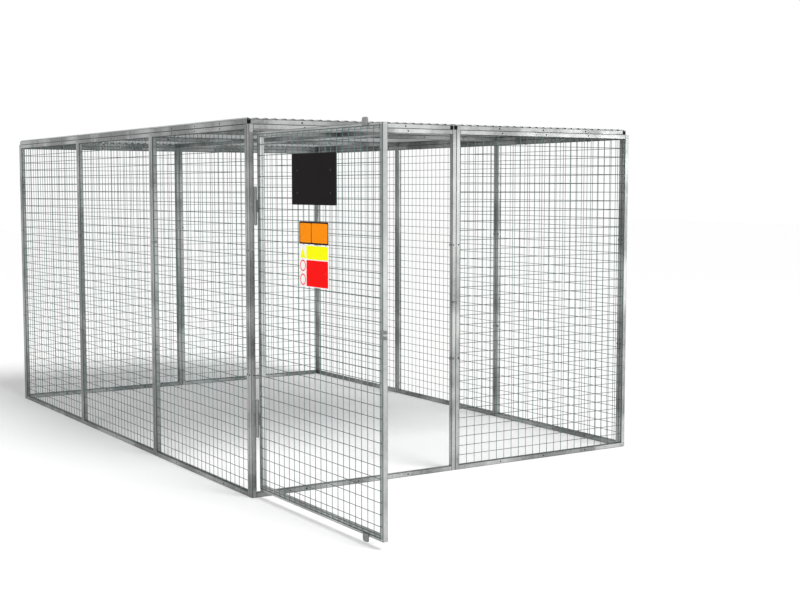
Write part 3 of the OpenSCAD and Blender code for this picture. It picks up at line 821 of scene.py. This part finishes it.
# Hinges
# Two steel hinges, three knuckles each: the outer two with leaves on the post, the middle
# one with a leaf on the door, on a loose plated pin. Their zinc is duller than the frames'.
PLATE_DARK = (0.16, 0.168, 0.164, 1)
PLATE_LIGHT = (0.39, 0.404, 0.397, 1)
plate_zinc = galvanised("galvanised_plate", PLATE_DARK, PLATE_LIGHT, roughness=0.42, metallic=0.7)
for name in ("lower", "upper"):
    coat(name + "_post_knuckles", plate_zinc)
    coat(name + "_door_knuckle", plate_zinc)
    coat(name + "_hinge_pin", plate_finish)

# Stop lugs, hasp and padlock tab
# Flat bar, cut and rounded, welded on: two lugs that stop the door at its bay, a forked
# plate on the door and a drilled tab on the lock post for the padlock.
for name in ("top_stop_lug", "bottom_stop_lug", "hasp_fork", "padlock_tab"):
    coat(name, plate_zinc)

# Sign plates
# Three plastic boards on the door, printed on their outer face. The print is kept to plain
# fields of colour, with no words. Screws with caps in its colours clamp them on the mesh.
PRINT_ORANGE = (0.94, 0.27, 0.004, 1)
PRINT_YELLOW = (0.93, 0.93, 0.005, 1)
PRINT_RED = (0.93, 0.006, 0.006, 1)
PRINT_BLACK = (0.0095, 0.008, 0.0085, 1)
PRINT_RIM = (0.05, 0.05, 0.05, 1)
BOARD_WHITE = (0.88, 0.88, 0.87, 1)
BOARD_BLACK = (0.03, 0.03, 0.03, 1)
SCREW_PLATE = (0.32, 0.33, 0.31, 1)
INK_DEPTH = 0.0004
RIM = 0.001
RIM_R = 0.005
BORDER = 0.007
PANE_R = 0.006
DIVIDER_AT = 0.42
DIVIDER_HALF = 0.00245
COLUMN = 0.065
PARTING = 0.122
PARTING_HALF = 0.002
FIELD_SIDE = 0.004
FIELD_END = 0.003
TRIANGLE_FOOT = 0.006
TRIANGLE_SLOPE = 0.56
MARK_R = 0.026
RING_BORE_R = 0.020
RING_HEIGHTS = (0.094, 0.032)
hinge_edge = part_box("door_frame")[1].y


def board(node):
    """Left, right, bottom and top of a board, across the door and up."""
    low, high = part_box(node)
    return hinge_edge - high.y, hinge_edge - low.y, low.z, high.z


def field(across, up, left, right, bottom, top, soft=PANE_R):
    """1 inside a rectangle of the print whose corners are rounded."""
    sides = []
    for place, low, high in ((across, left, right), (up, bottom, top)):
        away = (place - (low + high) / 2).maths("ABSOLUTE") - ((high - low) / 2 - soft)
        sides.append(away.maths("MAXIMUM", 0.0))
    return sides[0] * sides[0] + sides[1] * sides[1] < soft * soft


def black_print(across, up):
    """A plain black field with a thin greyer rim."""
    left, right, bottom, top = board("upper_sign")
    edge = field(across, up, left + RIM, right - RIM, bottom + RIM, top - RIM, RIM_R)
    return edge.mix(PRINT_RIM, PRINT_BLACK)


def orange_print(across, up):
    """Two orange panes on black."""
    left, right, bottom, top = board("middle_sign")
    divider = left + DIVIDER_AT * (right - left)
    panes = [field(across, up, start, end, bottom + BORDER, top - BORDER)
             for start, end in ((left + BORDER, divider - DIVIDER_HALF),
                                (divider + DIVIDER_HALF, right - BORDER))]
    return (panes[0] + panes[1]).mix(PRINT_BLACK, PRINT_ORANGE)


def white_print(across, up):
    """A yellow and a red field, and left of them a plain triangle and two plain rings."""
    left, right, bottom, top = board("lower_sign")
    column, parting = left + COLUMN, bottom + PARTING
    yellow = field(across, up, column, right - FIELD_SIDE, parting + PARTING_HALF, top - FIELD_END)
    red = field(across, up, column, right - FIELD_SIDE, bottom + FIELD_END, parting - PARTING_HALF)
    colour = red.mix(yellow.mix(BOARD_WHITE, PRINT_YELLOW), PRINT_RED)
    beside = across - (left + column) / 2
    rise = (up - (parting + TRIANGLE_FOOT)) * TRIANGLE_SLOPE
    triangle = (beside.maths("ABSOLUTE") + rise < MARK_R) * (rise > 0.0)
    colour = triangle.mix(colour, PRINT_YELLOW)
    for height in RING_HEIGHTS:
        above = up - (bottom + height)
        spread = (beside * beside + above * above).maths("SQRT")
        colour = ((spread < MARK_R) * (spread > RING_BORE_R)).mix(colour, PRINT_RED)
    return colour


def printed(node, name, core, build):
    """A board of a plain colour. The print on its outer face is worked out from the distance
    across the door and the height."""
    material, start = bare_finish(name)
    place = start.node("ShaderNodeTexCoord", output="Object")
    outer = place.part("X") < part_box(node)[0].x + INK_DEPTH
    ink = build(hinge_edge - place.part("Y"), place.part("Z"))
    close_finish(start, {
        "Base Color": outer.mix(core, ink), "Roughness": 0.38 + 0.16 * place.noise(14.0, 4.0),
        "Specular IOR Level": 0.02}, height=place.noise(1400.0), depth=0.00005, strength=0.4)
    return material


def screw_caps():
    """Zinc plate behind the boards, and in front a cap in the colour of the print round it."""
    material, start = bare_finish("screw_caps")
    place = start.node("ShaderNodeTexCoord", output="Object")
    up = place.part("Z")
    colour = white_print(hinge_edge - place.part("Y"), up)
    colour = (up > board("lower_sign")[3]).mix(colour, PRINT_ORANGE)
    colour = (up > board("middle_sign")[3]).mix(colour, PRINT_BLACK)
    front = place.part("X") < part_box("upper_sign")[0].x + INK_DEPTH
    grain = place.noise(900.0)
    close_finish(start, {
        "Base Color": front.mix(SCREW_PLATE, colour), "Roughness": 0.30 + 0.15 * grain,
        "Metallic": 0.9 * (1 - front)}, height=grain, depth=0.0001)
    return material


for node, name, core, build in (("upper_sign", "black_board", BOARD_BLACK, black_print),
                                ("middle_sign", "orange_board", BOARD_WHITE, orange_print),
                                ("lower_sign", "white_board", BOARD_WHITE, white_print)):
    coat(node, printed(node, name, core, build))
coat("sign_screws", screw_caps())

# Floor and background
# A plain white floor that runs on past the view, and a white background.
FLOOR_REACH = 40.0
FLOOR_DROP = 0.0003
FLOOR_COLOUR = (0.80, 0.80, 0.80, 1)
FLOOR_LIFT = 0.215
BACKGROUND = (1, 1, 1, 1)
SKY_LIGHT = 0.35


def seen_white(start):
    """1 for what the camera sees, also mirrored or through something, and 0 for lighting."""
    return (start.node("ShaderNodeLightPath", output="Is Camera Ray")
            + start.node("ShaderNodeLightPath", output="Is Glossy Ray")
            + start.node("ShaderNodeLightPath", output="Is Transmission Ray"))


floor_mesh = bpy.data.meshes.new("floor")
floor_mesh.from_pydata([(x * FLOOR_REACH, y * FLOOR_REACH, -FLOOR_DROP)
                        for x, y in ((-1, -1), (1, -1), (1, 1), (-1, 1))], [], [(0, 1, 2, 3)])
floor = bpy.data.objects.new("floor", floor_mesh)
scene.collection.objects.link(floor)
floor_white, start = bare_finish("floor_white")
diffuse = start.node("ShaderNodeBsdfDiffuse", None, {"Color": FLOOR_COLOUR})
lift = start.node("ShaderNodeEmission", None, {
    "Color": BACKGROUND, "Strength": FLOOR_LIFT * seen_white(start)})
both = start.node("ShaderNodeAddShader", None, {0: diffuse, 1: lift})
start.node("ShaderNodeOutputMaterial", None, {"Surface": both})
floor_mesh.materials.append(floor_white)

world = bpy.data.worlds.new("studio")
scene.world = world
world.use_nodes = True
world.node_tree.nodes.clear()
start = Lead(world.node_tree)
dim = start.node("ShaderNodeBackground", None, {"Color": BACKGROUND, "Strength": SKY_LIGHT})
white = start.node("ShaderNodeBackground", None, {"Color": BACKGROUND, "Strength": 1.0})
seen = start.node("ShaderNodeMixShader", None, {0: seen_white(start), 1: dim, 2: white})
start.node("ShaderNodeOutputWorld", None, {"Surface": seen})

# Lamps
# A broad key from the front and a little to the right lights the floor, and the roof shades
# it at the back. A soft box on the right models the front faces, and one on the left lights
# the signs. The zinc mirrors neither the key nor that one.
KEY_FROM = (0.35, -1.45, 1.8)
KEY_POWER = 2.5
KEY_SPREAD = 28
SOFT_BOX_POWER = 380.0
SOFT_BOX_AIM = (0, -1.0, 0.9)
SOFT_BOXES = {
    "front_right": {"place": (8.9, -10.2, 1.8), "size": (6.4, 3.4), "mirrored": True},
    "front_left": {"place": (-9.5, -5.2, 4.2), "size": (4.0, 4.0), "mirrored": False},
}


def hang(name, light, place, aim, mirrored):
    """Puts a lamp at its place and turns it to its aim."""
    stand = bpy.data.objects.new(name, light)
    stand.location = place
    stand.rotation_euler = (Vector(place) - Vector(aim)).to_track_quat("Z", "Y").to_euler()
    stand.visible_glossy = mirrored
    scene.collection.objects.link(stand)


key = bpy.data.lights.new("key", "SUN")
key.energy = KEY_POWER
key.angle = math.radians(KEY_SPREAD)
hang("key", key, KEY_FROM, (0, 0, 0), False)
for name, box in SOFT_BOXES.items():
    light = bpy.data.lights.new(name, "AREA")
    light.shape = "RECTANGLE"
    light.size, light.size_y = box["size"]
    light.energy = SOFT_BOX_POWER
    hang(name, light, box["place"], SOFT_BOX_AIM, box["mirrored"])

# Camera
# Eye height, in front and to the left, as the photograph was taken.
EYE = (-3.9878, -7.4968, 1.4926)
HEADING = 32.672
DOWN = 4.815
LENS = 59.32
SENSOR = 36.0
FARTHEST = 200.0
eye = bpy.data.cameras.new("camera")
eye.lens = LENS
eye.sensor_width = SENSOR
eye.clip_end = FARTHEST
camera = bpy.data.objects.new("camera", eye)
camera.location = EYE
camera.rotation_euler = Euler((math.radians(90 - DOWN), 0, math.radians(-HEADING)))
scene.collection.objects.link(camera)
scene.camera = camera
scene.view_settings.view_transform = "Standard"
